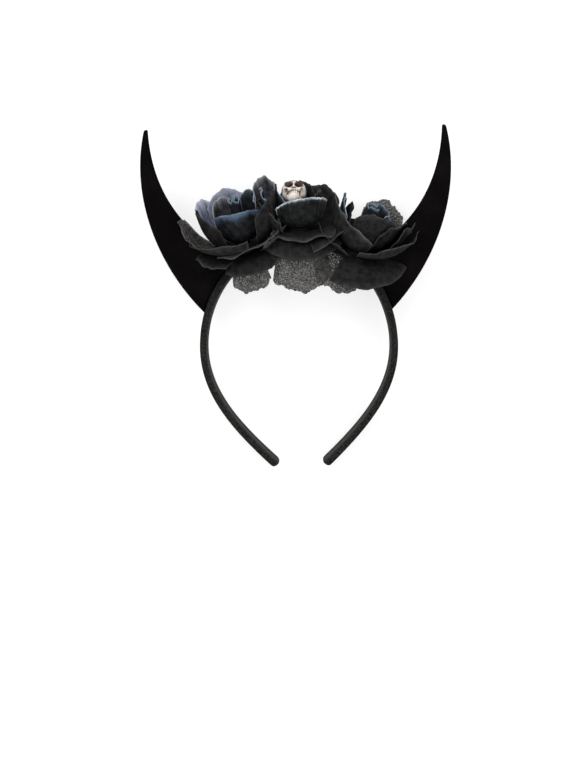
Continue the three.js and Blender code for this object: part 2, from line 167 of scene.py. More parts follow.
# The petals' forms follow the solids, and some are fitted more closely to the picture. Turn and
# spread are in degrees, and reach and rise are shares of the rose's radius and height. Cup is how
# hollow a petal is, lap how far one side stands outside the other, sag how much its corners drop and
# tilt how much one side climbs. Then the finish: the cloth, how pale the rim is, the lip that rolls
# out as a share of the reach, and the rim's waves and the pleats in mm.
COLUMNS = (
    "layer", "turn", "spread", "reach", "rise", "cup", "lap", "sag", "tilt",
    "cloth", "rim", "lip", "ruffle", "pleat",
)
ROSES = [
    {
        "name": "rose_left",
        "along": -33,
        "lean": 13,
        "radius": 34,
        "height": 40,
        "seed": 11,
        "roll_top": 0.95,
        "petals": [
            ("skirt", -1, 29, 0.8, -0.54, 0.66, 0.02, 0.12, 0, "sheer", 0.1, 0, 1.2, 0.2),
            ("skirt", -54, 28, 1.0, 0.06, 0.5, 0.02, 0.2, 0, "dark", 0.5, 0.06, 0.8, 0.2),
            ("skirt", 10, 42, 0.92, -0.24, 0.62, 0.03, 0.15, 0, "dark", 0.3, 0.03, 2.4, 0.5),
            ("skirt", -162, 46, 1.16, 0.1, 0.55, 0.02, 0.2, 0, "sheer", 0.1, 0, 1.2, 0.2),
            ("outer", 62, 36, 0.94, 0.36, 0.8, 0.03, 0.12, 0, "sheer", 0.3, 0.03, 1.0, 0.3),
            ("outer", -75, 17, 1.13, 0.74, 0.55, 0.03, 0.2, -0.12, "sheer", 0.6, 0.04, 1.0, 0.3),
            ("outer", -42, 48, 1.08, 0.36, 0.78, 0.04, 0.12, 0.14, "dark", 0.5, 0.04, 0.6, 0.2),
            ("outer", 6, 42, 0.92, 0.19, 0.8, 0.03, 0.1, 0.08, "dark", 0.8, 0.1, 0.5, 0.2),
            ("outer", 66, 42, 0.84, 0.92, 0.85, 0.04, 0.12, 0, "dark", 0.3, 0.04, 1.0, 0.3),
            ("outer", -172, 30, 1.2, 0.42, 0.75, 0.03, 0.2, 0, "dark", 0.2, 0, 1.3, 0.2),
            ("middle", -162, 36, 0.66, 1.02, 0.75, 0.04, 0.12, 0, "lavender", 0.5, 0.03, 0.6, 0.2),
            ("middle", -124, 17, 0.8, 0.96, 0.7, 0.02, 0.1, 0, "lavender", 0.8, 0.04, 0.8, 0.2),
            ("middle", -66, 41, 0.78, 0.84, 0.9, 0.04, 0.15, 0, "dark", 0.3, 0.02, 0.5, 0.2),
            ("inner", -4, 62, 0.5, 0.74, 0.95, 0.03, 0.14, 0, "blush", 0.9, 0, 0.3, 0.1),
            ("inner", 118, 50, 0.42, 0.96, 0.85, 0.04, 0.15, 0, "slate", 0.8, 0.05, 0.5, 0.2),
            ("inner", -136, 44, 0.44, 0.94, 0.9, 0.04, 0.2, 0, "smoke", 0.9, 0.05, 0.5, 0.2),
        ],
    },
    {
        "name": "rose_middle",
        "along": 1,
        "lean": 0,
        "radius": 34,
        "height": 38,
        "seed": 23,
        "roll_top": 0.62,
        "petals": [
            ("skirt", 6, 46, 0.8, -0.84, 0.7, 0.02, 0.1, 0, "sheer", 0.1, 0, 1.2, 0.2),
            ("skirt", 180, 28, 1.12, -0.1, 0.55, 0.02, 0.2, 0, "sheer", 0.1, 0, 1.2, 0.2),
            ("outer", 8, 60, 0.88, -0.28, 0.75, 0.03, 0.12, 0, "dark", 0.35, 0.03, 0.9, 0.3),
            ("outer", 10, 46, 0.8, 0.1, 0.85, 0.03, 0.1, 0, "dark", 0.6, 0.16, 0.6, 0.2),
            ("outer", -66, 40, 0.76, 0.6, 0.9, 0.03, 0.15, 0, "dark", 0.5, 0.03, 0.7, 0.2),
            ("outer", 58, 42, 1.02, 0.2, 0.85, 0.03, 0.12, 0.16, "dark", 0.4, 0.05, 1.0, 0.3),
            ("outer", 180, 28, 1.18, 0.36, 0.7, 0.03, 0.2, 0, "dark", 0.2, 0, 1.3, 0.2),
            ("middle", 8, 58, 0.58, 0.75, 0.95, 0.03, 0.24, 0.04, "edged", 1.0, 0.05, 0.6, 1.1),
            ("middle", -78, 26, 0.7, 0.85, 0.85, 0.03, 0.12, 0, "slate", 1.0, 0.06, 0.8, 0.2),
            ("middle", -118, 28, 0.84, 0.96, 0.75, 0.03, 0.15, 0, "smoke", 0.8, 0.05, 1.6, 0.3),
            ("middle", 128, 46, 0.78, 0.76, 0.75, 0.03, 0.15, 0, "dark", 0.5, 0.05, 1.4, 0.3),
            ("inner", -66, 46, 0.44, 0.84, 0.85, 0.03, 0.2, 0, "slate", 0.8, 0.05, 0.6, 0.2),
            ("inner", 70, 46, 0.42, 0.8, 0.85, 0.03, 0.2, 0, "dark", 0.7, 0.05, 1.2, 0.3),
            ("inner", 178, 50, 0.44, 0.9, 0.8, 0.03, 0.15, 0, "dark", 0.5, 0.04, 0.8, 0.2),
        ],
    },
    {
        "name": "rose_right",
        "along": 36,
        "lean": -24,
        "radius": 34,
        "height": 38,
        "seed": 37,
        "roll_top": 0.95,
        "petals": [
            ("skirt", -46, 36, 0.96, 0.24, 0.7, 0.03, 0.12, 0, "dark", 0.3, 0.03, 0.9, 0.3),
            ("skirt", 33, 50, 1.03, -0.28, 0.72, 0.04, 0.08, 0.16, "dark", 0.3, 0.03, 0.9, 0.2),
            ("skirt", -17, 38, 0.8, -0.6, 0.7, 0.02, 0.12, 0, "sheer", 0.1, 0, 1.2, 0.2),
            ("skirt", 150, 32, 1.16, 0.1, 0.55, 0.02, 0.2, 0, "sheer", 0.1, 0, 1.2, 0.2),
            ("outer", 44, 42, 0.98, 0.52, 0.86, 0.04, 0.12, 0.16, "dark", 0.5, 0.05, 0.9, 0.2),
            ("outer", 71, 24, 0.86, 0.9, 0.85, 0.03, 0.2, 0, "dark", 0.4, 0.04, 1.2, 0.3),
            ("outer", 172, 30, 1.18, 0.42, 0.7, 0.03, 0.2, 0, "dark", 0.2, 0, 1.3, 0.2),
            ("outer", -38, 55, 0.74, 0.66, 0.9, 0.03, 0.1, -0.12, "dark", 1.0, 0.07, 0.6, 0.2),
            ("middle", 16, 42, 0.6, 0.86, 0.95, 0.04, 0.15, 0, "dark", 0.5, 0.02, 0.4, 0.1),
            ("middle", 62, 36, 0.7, 0.84, 0.8, 0.04, 0.15, 0, "dark", 0.5, 0.05, 0.9, 0.3),
            ("middle", 148, 36, 0.82, 0.96, 0.75, 0.04, 0.15, 0, "sheer", 0.4, 0.04, 1.2, 0.2),
            ("middle", -80, 38, 0.58, 0.9, 0.85, 0.04, 0.15, 0, "slate", 0.9, 0.06, 0.9, 0.2),
            ("inner", 34, 36, 0.46, 0.88, 0.9, 0.04, 0.2, 0, "slate", 1.0, 0.1, 0.5, 0.1),
            ("inner", 146, 48, 0.44, 0.92, 0.8, 0.04, 0.15, 0, "slate", 0.8, 0.05, 0.6, 0.2),
        ],
    },
]

# Each petal cloth: how ragged its rim is cut, how strong and how wide in mm the fade behind the rim
# is, its roughness, and its tones in the mottle's dark patches, in its pale ones and along the rim
PETAL_CLOTHS = {
    "sheer": {
        "ragged": 1.5, "fade": 0.3, "fade_by": 2.0, "roughness": 0.9,
        "deep": (0.036, 0.035, 0.0335), "face": (0.078, 0.076, 0.073), "rim": (0.13, 0.13, 0.127),
    },
    "dark": {
        "ragged": 1.0, "fade": 0.35, "fade_by": 2.2, "roughness": 0.9,
        "deep": (0.009, 0.0085, 0.0088), "face": (0.0205, 0.0195, 0.0198), "rim": (0.10, 0.098, 0.1),
    },
    "slate": {
        "ragged": 0.5, "fade": 0.2, "fade_by": 2.6, "roughness": 0.85,
        "deep": (0.007, 0.0075, 0.009), "face": (0.015, 0.017, 0.021), "rim": (0.26, 0.35, 0.44),
    },
    "blush": {
        "ragged": 0.4, "fade": 0.5, "fade_by": 3.2, "roughness": 0.88,
        "deep": (0.008, 0.008, 0.0085), "face": (0.022, 0.023, 0.026), "rim": (0.17, 0.25, 0.38),
    },
    "smoke": {
        "ragged": 0.8, "fade": 0.4, "fade_by": 3.0, "roughness": 0.88,
        "deep": (0.02, 0.02, 0.022), "face": (0.06, 0.058, 0.066), "rim": (0.46, 0.46, 0.50),
    },
    "edged": {
        "ragged": 0.3, "fade": 0.06, "fade_by": 2.0, "roughness": 0.88,
        "deep": (0.006, 0.006, 0.0062), "face": (0.017, 0.018, 0.0185), "rim": (0.62, 0.68, 0.72),
    },
    "lavender": {
        "ragged": 0.6, "fade": 0.8, "fade_by": 6.0, "roughness": 0.85,
        "deep": (0.07, 0.08, 0.12), "face": (0.16, 0.18, 0.25), "rim": (0.50, 0.53, 0.64),
    },
}

# The skull's forms on its right side, which its left side mirrors: each one's middle as shares of
# the skull's width, length and height, its radii and how softly it blends in
SKULL_HEAD = ((0, 0.1, -0.02), (8.2, 8.405, 7.25))
SKULL_LUMPS = {
    "jaw": ((0, -0.27, 0.1), (4.92, 4.92, 5.22), 1.6),
    "cheek": ((0.3, -0.08, 0.3), (1.9, 1.6, 2.0), 1.2),
    "brow": ((0.2, 0.14, 0.4), (2.8, 1.0, 1.3), 1.0),
}
SKULL_HOLLOWS = {
    "socket": ((0.215, 0.03, 0.48), (3.1, 2.7, 3.5), 0.6),
    "nose": ((0.045, -0.12, 0.5), (0.9, 1.5, 1.8), 0.4),
    "temple": ((0.56, 0.02, 0.16), (1.5, 2.8, 2.8), 1.2),
    "cheek": ((0.34, -0.26, 0.36), (2.0, 2.4, 2.2), 1.0),
}
TEETH = {
    "along": -0.31,  # where the rows meet, as a share of the length
    "pitch": 0.075,  # share of the width
    "front": 0.2,  # share of the height that they stand above
    "row_half": 0.26,  # shares of the width
    "bite_half": 0.27,
    "height": 2.2,
    "groove": 0.4,
    "groove_width": 0.2,
    "bite": 0.55,
    "bite_width": 0.32,
}
SKULL_SEARCH = (0.5, 16.0)  # its surface is somewhere between these distances from its middle
HALVINGS = 26
CAVITY = {
    "depth": 0.7,  # of a hollow that is fully shaded
    "power": 0.7,
    "deep_from": 1.4,
    "deep_over": 0.6,
    "deep_shade": 0.9,
}

# Where the band's own frame stands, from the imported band
crown_up = BAND["rise"] + BAND["thickness"] / 2
band_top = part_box("headband")[1] / MM
LIFT = band_top.z - crown_up * math.sin(LEAN) - BAND["depth"] / 2 * math.cos(LEAN)
BACK = band_top.y - crown_up * math.cos(LEAN) - BAND["depth"] / 2 * math.sin(LEAN)
BAND_FRAME = Matrix.Translation((0, BACK, LIFT)) @ Matrix.Rotation(LEAN, 4, "X")

# Camera
PIXEL = 0.6566  # millimetres to a pixel at the band
PHOTO = (576, 768)
BAND_CENTRE = (299, 346)  # pixel of the band's widest place, midway
CAMERA_RISE = math.radians(12)  # above the band's own front
CAMERA_ROLL = math.radians(1.1)
CAMERA_AWAY = 3500
SENSOR = 36


def make_camera():
    turn = BAND_FRAME.to_3x3()
    toward = turn @ Vector((0, math.sin(CAMERA_RISE), math.cos(CAMERA_RISE)))
    level_up = turn @ Vector((0, math.cos(CAMERA_RISE), -math.sin(CAMERA_RISE)))
    level_right = Vector((1, 0, 0))
    right = level_right * math.cos(CAMERA_ROLL) - level_up * math.sin(CAMERA_ROLL)
    up = level_up * math.cos(CAMERA_ROLL) + level_right * math.sin(CAMERA_ROLL)
    aim = BAND_FRAME.translation.copy()
    aim -= right * (BAND_CENTRE[0] - PHOTO[0] / 2) * PIXEL
    aim -= up * (PHOTO[1] / 2 - BAND_CENTRE[1]) * PIXEL
    camera = bpy.data.objects.new("camera", bpy.data.cameras.new("camera"))
    bpy.context.scene.collection.objects.link(camera)
    camera.data.sensor_width = SENSOR
    camera.data.lens = SENSOR * CAMERA_AWAY / (PHOTO[1] * PIXEL)
    camera.data.clip_start = 0.1
    camera.data.clip_end = 20
    place = Matrix.Identity(4)
    for axis, direction in enumerate((right, up, toward)):
        place.col[axis].xyz = direction
    place.translation = (aim + toward * CAMERA_AWAY) * MM
    camera.matrix_world = place
    bpy.context.scene.camera = camera


# Materials
CLOTH_SHINE = 0.04
MIX_FACTOR = 0  # sockets of the mix node for colours, which share their names with its others
MIX_UNDER = 6
MIX_OVER = 7
MIX_RESULT = 2


def grey(tone):
    return (tone, tone, tone)


def new_material(name, roughness, shine=CLOTH_SHINE):
    material = bpy.data.materials.new(name)
    material.use_nodes = True
    shader = material.node_tree.nodes["Principled BSDF"]
    shader.inputs["Roughness"].default_value = roughness
    shader.inputs["Specular IOR Level"].default_value = shine
    return material, material.node_tree, shader


def node(tree, kind, **inputs):
    made = tree.nodes.new(kind)
    for name, value in inputs.items():
        made.inputs[name].default_value = value
    return made


def noise(tree, scale, detail):
    """Noise in the row frame, with scale in patches to a metre."""
    place = tree.nodes.new("ShaderNodeTexCoord")
    made = node(tree, "ShaderNodeTexNoise", Scale=scale, Detail=detail)
    tree.links.new(place.outputs["Object"], made.inputs["Vector"])
    return made.outputs["Fac"]


def ramp(tree, source, stops):
    """The source turned to colours, with each stop a position and a colour."""
    made = tree.nodes.new("ShaderNodeValToRGB")
    for element, (position, color) in zip(made.color_ramp.elements, stops, strict=True):
        element.position = position
        element.color = (*color, 1)
    tree.links.new(source, made.inputs["Fac"])
    return made.outputs["Color"]


def mixed(tree, factor, under, over, blend="MIX"):
    """Two colours mixed. Each of them and the factor is a constant or another node's output."""
    made = tree.nodes.new("ShaderNodeMix")
    made.data_type = "RGBA"
    made.blend_type = blend
    for socket, value in ((MIX_FACTOR, factor), (MIX_UNDER, under), (MIX_OVER, over)):
        if isinstance(value, float):
            made.inputs[socket].default_value = value
        elif isinstance(value, tuple):
            made.inputs[socket].default_value = (*value, 1)
        else:
            tree.links.new(value, made.inputs[socket])
    return made.outputs[MIX_RESULT]


def rim_shade(tree):
    """The shade that each piece carries at its points, which on the band cover is a painted highlight."""
    made = tree.nodes.new("ShaderNodeAttribute")
    made.attribute_name = "rim"
    return made.outputs["Fac"]


def weave_height(tree, pitch_across, pitch_along):
    """Threads over the piece's own map, whose units are millimetres."""
    place = tree.nodes.new("ShaderNodeUVMap")
    place.uv_map = "cloth"
    both = tree.nodes.new("ShaderNodeMath")
    both.operation = "ADD"
    for i, (direction, pitch) in enumerate((("X", pitch_across), ("Y", pitch_along))):
        threads = node(tree, "ShaderNodeTexWave", Scale=TAU / (20 * pitch), Distortion=1.2, Detail=1.0)
        threads.bands_direction = direction
        tree.links.new(place.outputs["UV"], threads.inputs["Vector"])
        tree.links.new(threads.outputs["Fac"], both.inputs[i])
    return both.outputs[0]


def add_bump(tree, shader, height, distance, strength, under=None):
    """A bump whose distance is in millimetres, on top of the bump under it."""
    bump = node(tree, "ShaderNodeBump", Strength=strength, Distance=distance * MM)
    tree.links.new(height, bump.inputs["Height"])
    if under is not None:
        tree.links.new(under, bump.inputs["Normal"])
    tree.links.new(bump.outputs["Normal"], shader.inputs["Normal"])
    return bump.outputs["Normal"]


def petal_material(cloth):
    """Printed petal cloth: a mottled face and a pale rim, with fine specks over both."""
    tones = PETAL_CLOTHS[cloth]
    material, tree, shader = new_material(f"petal_{cloth}", tones["roughness"])
    mottle = noise(tree, 260, 5.0)
    face = ramp(tree, mottle, [(0.35, tones["deep"]), (0.65, tones["face"])])
    toned = mixed(tree, rim_shade(tree), face, tones["rim"])
    specks = ramp(tree, noise(tree, 1900, 2.0), [(0.42, grey(0.72)), (0.6, grey(1.25))])
    color = mixed(tree, 0.8, toned, specks, "MULTIPLY")
    tree.links.new(color, shader.inputs["Base Color"])
    crumple = add_bump(tree, shader, mottle, 0.35, 0.5)
    add_bump(tree, shader, weave_height(tree, 0.34, 0.34), 0.05, 0.6, crumple)
    return material


def sheer_material():
    """Thin open cloth: pale specks of light between its threads."""
    material = petal_material("sheer")
    tree = material.node_tree
    see = ramp(tree, noise(tree, 1150, 2.0), [(0.45, grey(1)), (0.57, grey(0.56))])
    tree.links.new(see, tree.nodes["Principled BSDF"].inputs["Alpha"])
    return material


def band_material():
    material, tree, shader = new_material("band_cloth", 0.9)
    fuzz = noise(tree, 1500, 2.0)
    cloth = ramp(tree, fuzz, [(0.42, grey(0.003)), (0.62, (0.028, 0.028, 0.026))])
    # Paler along the upper inner corner, where the rim shade is a painted highlight
    color = mixed(tree, rim_shade(tree), cloth, (0.07, 0.07, 0.068))
    tree.links.new(color, shader.inputs["Base Color"])
    rough = add_bump(tree, shader, fuzz, 0.2, 0.6)
    add_bump(tree, shader, weave_height(tree, 0.9, 0.6), 0.12, 0.8, rough)
    return material


def flock_material():
    """A short pile without any gloss, a little paler in patches of wear."""
    material, tree, shader = new_material("horn_flock", 1.0, 0)
    pile = noise(tree, 2200, 3.0)
    fine = ramp(tree, pile, [(0.3, (0.0015, 0.0013, 0.0014)), (0.7, (0.0046, 0.004, 0.0043))])
    wear_and_highlight = ramp(tree, noise(tree, 45, 3.0), [(0.45, grey(0)), (0.75, grey(0.35))])
    color = mixed(tree, wear_and_highlight, fine, (0.009, 0.0075, 0.008))
    tree.links.new(color, shader.inputs["Base Color"])
    add_bump(tree, shader, pile, 0.15, 0.7)
    return material


def skull_material():
    material, tree, shader = new_material("skull_resin", 0.6, 0.06)
    stain = noise(tree, 300, 5.0)
    bone = ramp(tree, stain, [(0.36, (0.26, 0.18, 0.14)), (0.5, (0.74, 0.68, 0.62))])
    color = mixed(tree, rim_shade(tree), bone, (0.022, 0.013, 0.010))
    tree.links.new(color, shader.inputs["Base Color"])
    add_bump(tree, shader, stain, 0.15, 0.4)
    return material


def calyx_material():
    # Dark felt of the calyx; where the disc reaches past the petals' feet it stands in for painted shade
    # between them
    material, tree, shader = new_material("calyx_felt", 0.9)
    fuzz = noise(tree, 900, 4.0)
    felt = ramp(tree, fuzz, [(0.35, grey(0.008)), (0.65, (0.022, 0.022, 0.023))])
    tree.links.new(felt, shader.inputs["Base Color"])
    add_bump(tree, shader, fuzz, 0.25, 0.6)
    return material


MATERIALS = {cloth: petal_material(cloth) for cloth in PETAL_CLOTHS if cloth != "sheer"}
MATERIALS["sheer"] = sheer_material()
MATERIALS["calyx"] = calyx_material()
MATERIALS["band"] = band_material()
MATERIALS["flock"] = flock_material()
MATERIALS["skull"] = skull_material()


# Meshes
class Builder:
    """Collects sheets and solids, in millimetres, into one piece."""

    def __init__(self):
        self.points = []
        self.faces = []
        self.kinds = []
        self.cloth = []
        self.rim = []
        self.flat = []
        self.materials = []
        self.count = 0

    def add(self, points, faces, material, cloth=None, rim=None, flat=()):
        """Adds a form, with its map and rim shade by point and the indices of its flat faces."""
        if material not in self.materials:
            self.materials.append(material)
        base = len(self.faces)
        self.faces += [tuple(int(i) + self.count for i in face) for face in faces]
        self.kinds += [self.materials.index(material)] * len(faces)
        self.flat += [base + i for i in flat]
        self.points.append(points)
        self.cloth.append(np.zeros((len(points), 2)) if cloth is None else cloth)
        self.rim.append(np.zeros(len(points)) if rim is None else rim)
        self.count += len(points)

    def make(self, name, nodes):
        """Makes the piece, which takes the place of the nodes."""
        mesh = bpy.data.meshes.new(name)
        mesh.from_pydata((np.concatenate(self.points) * MM).tolist(), [], self.faces)
        for material in self.materials:
            mesh.materials.append(MATERIALS[material])
        mesh.polygons.foreach_set("material_index", np.array(self.kinds, np.int32))
        smooth = np.ones(len(self.faces), bool)
        smooth[np.array(self.flat, int)] = False
        mesh.polygons.foreach_set("use_smooth", smooth)
        shade = mesh.attributes.new("rim", "FLOAT", "POINT")
        shade.data.foreach_set("value", np.concatenate(self.rim).astype(np.float32))
        corners = np.zeros(len(mesh.loops), np.int32)
        mesh.loops.foreach_get("vertex_index", corners)
        cloth = np.concatenate(self.cloth).astype(np.float32)
        mesh.uv_layers.new(name="cloth").data.foreach_set("uv", cloth[corners].ravel())
        piece = bpy.data.objects.new(name, mesh)
        bpy.context.scene.collection.objects.link(piece)
        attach(piece, "root")
        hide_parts(*nodes)


def grid_normals(sheet):
    across = np.gradient(sheet, axis=1)
    along = np.gradient(sheet, axis=0)
    normal = np.cross(across, along)
    return normal / (np.linalg.norm(normal, axis=2, keepdims=True) + 1e-12)


def sheet_faces(rows, columns):
    """Faces of two sheets of points, one over the other, and of the rim between them."""
    index = np.arange(rows * columns).reshape(rows, columns)
    a, b = index[:-1, :-1].ravel(), index[:-1, 1:].ravel()
    c, d = index[1:, 1:].ravel(), index[1:, :-1].ravel()
    under = rows * columns
    faces = np.concatenate([np.stack([a, b, c, d], 1), np.stack([d, c, b, a], 1) + under])
    loop = np.concatenate([index[0, :-1], index[:-1, -1], index[-1, :0:-1], index[:0:-1, 0]])
    onward = np.roll(loop, -1)
    rim = np.stack([onward, loop, loop + under, onward + under], 1)
    flat = range(len(faces), len(faces) + len(rim))
    return np.concatenate([faces, rim]).tolist(), flat


def add_sheet(builder, sheet, material, cloth, rim):
    """A cloth of even thickness about a grid of points. What would pass through the table lies on it."""
    thickness = PETAL["thickness"]
    offset = grid_normals(sheet) * thickness / 2
    over, under = sheet + offset, sheet - offset
    high, low = (over, under) if offset[..., 2].sum() > 0 else (under, over)
    high[..., 2] = np.maximum(high[..., 2], thickness)
    low[..., 2] = np.maximum(low[..., 2], 0)
    faces, flat = sheet_faces(*sheet.shape[:2])
    points = np.concatenate([over.reshape(-1, 3), under.reshape(-1, 3)])
    builder.add(points, faces, material, np.concatenate([cloth, cloth]), np.concatenate([rim, rim]), flat)


def moved(points, matrix):
    a = np.array(matrix)
    return points @ a[:3, :3].T + a[:3, 3]


def unit(vectors):
    return vectors / np.linalg.norm(vectors, axis=-1, keepdims=True)


def heading(degrees):
    """The direction in the band's plane that is turned this far from +X."""
    angle = math.radians(degrees)
    return np.array([math.cos(angle), math.sin(angle)])


def distances(line):
    """How far along a line each of its points is."""
    return np.concatenate([[0], np.cumsum(np.linalg.norm(np.diff(line, axis=0), axis=1))])


def rounded(share):
    """The height over an edge that is rounded like a quarter of a circle, both as shares of its radius."""
    return np.sqrt(1 - (1 - np.minimum(share, 1)) ** 2)


def bezier(a, b, c, d, t):
    return a * (1 - t) ** 3 + 3 * b * t * (1 - t) ** 2 + 3 * c * t * t * (1 - t) + d * t**3


def waves(draw, x, rates, falloff=1.0):
    """A sum of waves in x with drawn phases, between about -1 and 1."""
    total = np.zeros_like(x)
    for rate in rates:
        total += np.sin(TAU * (rate * x + draw.random())) / (rate / rates[0]) ** falloff
    return total / sum(1 / (rate / rates[0]) ** falloff for rate in rates)


# Band
def band_centreline():
    """From the left end past the crown to the right end, with a straight tail at each."""
    angle = np.linspace(math.pi / 2, 0, COVER["line_steps"])
    crown = np.stack([BAND["half_width"] * np.cos(angle), BAND["rise"] * np.sin(angle)], 1)
    start = np.array([BAND["half_width"], 0])
    end = np.array([BAND["end_half"], -BAND["drop"]])
    back = heading(BAND["end_angle"]) * BAND["end_handle"]
    t = np.linspace(0, 1, COVER["line_steps"])[1:, None]
    arm = bezier(start, start - [0, BAND["side_handle"]], end + back, end, t)
    half = np.concatenate([crown, arm])
    line = np.concatenate([(half[1:] * [-1, 1])[::-1], half])
    left = line[0] + unit(line[0] - line[1]) * COVER["tail"]
    right = line[-1] + unit(line[-1] - line[-2]) * COVER["tail"]
    return np.concatenate([[left], line, [right]])


def band_section():
    """The band's cut, as thickness and depth, with round corners."""
    half_thickness = BAND["thickness"] / 2 - BAND["corner"]
    half_depth = BAND["depth"] / 2 - BAND["corner"]
    points = []
    for x, y, start in ((1, 1, 0), (-1, 1, 90), (-1, -1, 180), (1, -1, 270)):
        middle = np.array([x * half_thickness, y * half_depth])
        for turn in np.linspace(0, 90, COVER["corner_steps"]):
            points.append(middle + BAND["corner"] * heading(start + turn))
    return np.array(points)


def make_band():
    line = band_centreline()
    distance = distances(line)
    total = distance[-1]
    round_end = BAND["depth"] / 2
    cap = round_end * (1 - np.cos(np.linspace(COVER["first_ring"], math.pi / 2, COVER["cap_rings"])))
    between = np.arange(round_end + 1, total - round_end - 0.5, COVER["step"])
    stops = np.concatenate([cap, between, total - cap[::-1]])

    def place(along):
        return np.stack([np.interp(along, distance, line[:, i]) for i in (0, 1)], 1)

    direction = unit(place(stops + COVER["look"]) - place(stops - COVER["look"]))
    outward = np.stack([-direction[:, 1], direction[:, 0]], 1)
    to_end = np.minimum(np.minimum(stops, total - stops), round_end)
    thick_share = np.maximum(rounded(to_end / (BAND["thickness"] / 2)), COVER["least_end"])
    thick_share *= COVER["thicker"] + COVER["end_thicker"] * (2 * stops / total - 1) ** 4
    section = band_section()
    flat = place(stops)[:, None] + outward[:, None] * (section[None, :, :1] * thick_share[:, None, None])
    height = section[None, :, 1] * rounded(to_end / round_end)[:, None]
    points = moved(np.concatenate([flat, height[..., None]], 2).reshape(-1, 3), BAND_FRAME)
    points[:, 2] = np.maximum(points[:, 2], 0)
    cloth = np.stack(np.meshgrid(distances(section), stops), 2).reshape(-1, 2)
    # A painted highlight: a pale line along the inner corner of the upper side, which faces the lamps
    from_line = (section[:, 0] + BAND["thickness"] / 2 - COVER["highlight_in"]) / COVER["highlight_width"]
    wear_and_highlight = np.exp(-(from_line**2)) * (section[:, 1] > 0) * COVER["highlight_strength"]

    ring = len(section)
    last = (len(stops) - 1) * ring
    faces = [tuple(range(ring - 1, -1, -1)), tuple(range(last, last + ring))]
    for base in range(0, last, ring):
        for i in range(ring):
            a = base + i
            b = base + (i + 1) % ring
            faces.append((a, b, b + ring, a + ring))
    builder = Builder()
    builder.add(points, faces, "band", cloth, np.tile(wear_and_highlight, len(stops)))
    builder.make("band_cover", ["headband"])


# Horns
def on_band(degrees):
    angle = np.radians(degrees)
    half = BAND["half_width"] + BAND["thickness"] / 2
    rise = BAND["rise"] + BAND["thickness"] / 2
    return np.stack([half * np.cos(angle), rise * np.sin(angle)], -1)


def horn_edge(key, sign, t):
    """One edge of the right horn, from the band to the tip."""
    start = on_band(HORN[f"base_{key}"])
    end = np.array([HORN["tip_out"] + sign * HORN["tip_width"] / 2, HORN["tip_up"]])
    start_angle, end_angle = HORN[f"{key}_angles"]
    start_handle, end_handle = HORN[f"{key}_handles"]
    leave = start + heading(start_angle) * start_handle
    arrive = end + heading(end_angle + 180) * end_handle
    return bezier(start, leave, arrive, end, t)


def make_horn(name, side):
    columns, rows = FLOCK["steps"]
    t = np.sin(np.linspace(0, math.pi / 2, rows))[:, None]
    s = (1 - np.cos(np.linspace(0, math.pi, columns))) / 2
    outer, inner = horn_edge("outer", 1, t), horn_edge("inner", -1, t)
    to_end = distances(outer[::-1])[::-1, None]
    narrow = np.maximum(rounded(to_end / (HORN["tip_width"] / 2)), FLOCK["least_tip"])
    spine = (outer + inner) / 2
    outer = spine + (outer - spine) * narrow
    inner = spine + (inner - spine) * narrow
    sheet = outer[:, None] * (1 - s)[:, None] + inner[:, None] * s[:, None]
    arc = on_band(HORN["base_outer"] + (HORN["base_inner"] - HORN["base_outer"]) * s)
    arc += unit(arc) * FLOCK["off_band"]
    sheet += ((1 - t) ** 6)[:, :, None] * (arc - sheet[0])
    width = np.linalg.norm(outer - inner, axis=1)[:, None]
    inset = np.minimum(s, 1 - s) * width / HORN["edge"]
    to_tip = np.linspace(1, 0, rows)[:, None] * FLOCK["length"] / HORN["edge"]
    half = HORN["thickness"] / 2 * rounded(np.minimum(inset, np.maximum(to_tip, FLOCK["tip_inset"])))
    half = np.maximum(half, FLOCK["least_half"])

    turn = math.radians(HORN["turn"])
    pivot = (on_band(HORN["base_outer"]) + on_band(HORN["base_inner"]))[0] / 2
    across = (sheet[..., 0] - pivot) / math.cos(turn)
    layers = []
    for sign in (1, -1):
        x = pivot + across * math.cos(turn) + sign * half * math.sin(turn)
        z = -across * math.sin(turn) + sign * half * math.cos(turn)
        layers.append(np.stack([x * side, sheet[..., 1], z], 2).reshape(-1, 3))
    faces, _ = sheet_faces(rows, columns)
    if side > 0:
        faces = [face[::-1] for face in faces]
    builder = Builder()
    builder.add(moved(np.concatenate(layers), BAND_FRAME), faces, "flock")
    builder.make(f"{name}_flocked", [name])


# Roses
def rose_frame(spec):
    half = BAND["half_width"] + BAND["thickness"] / 2
    up = crown_up * math.sqrt(1 - (spec["along"] / half) ** 2)
    seat = Matrix.Translation((spec["along"], up, 0)) @ Matrix.Rotation(math.radians(spec["lean"]), 4, "Z")
    return BAND_FRAME @ seat


def uneven(draw, q, rates):
    """A factor between a half and 1 that varies along the rim."""
    return 0.75 + 0.25 * waves(draw, q, rates)


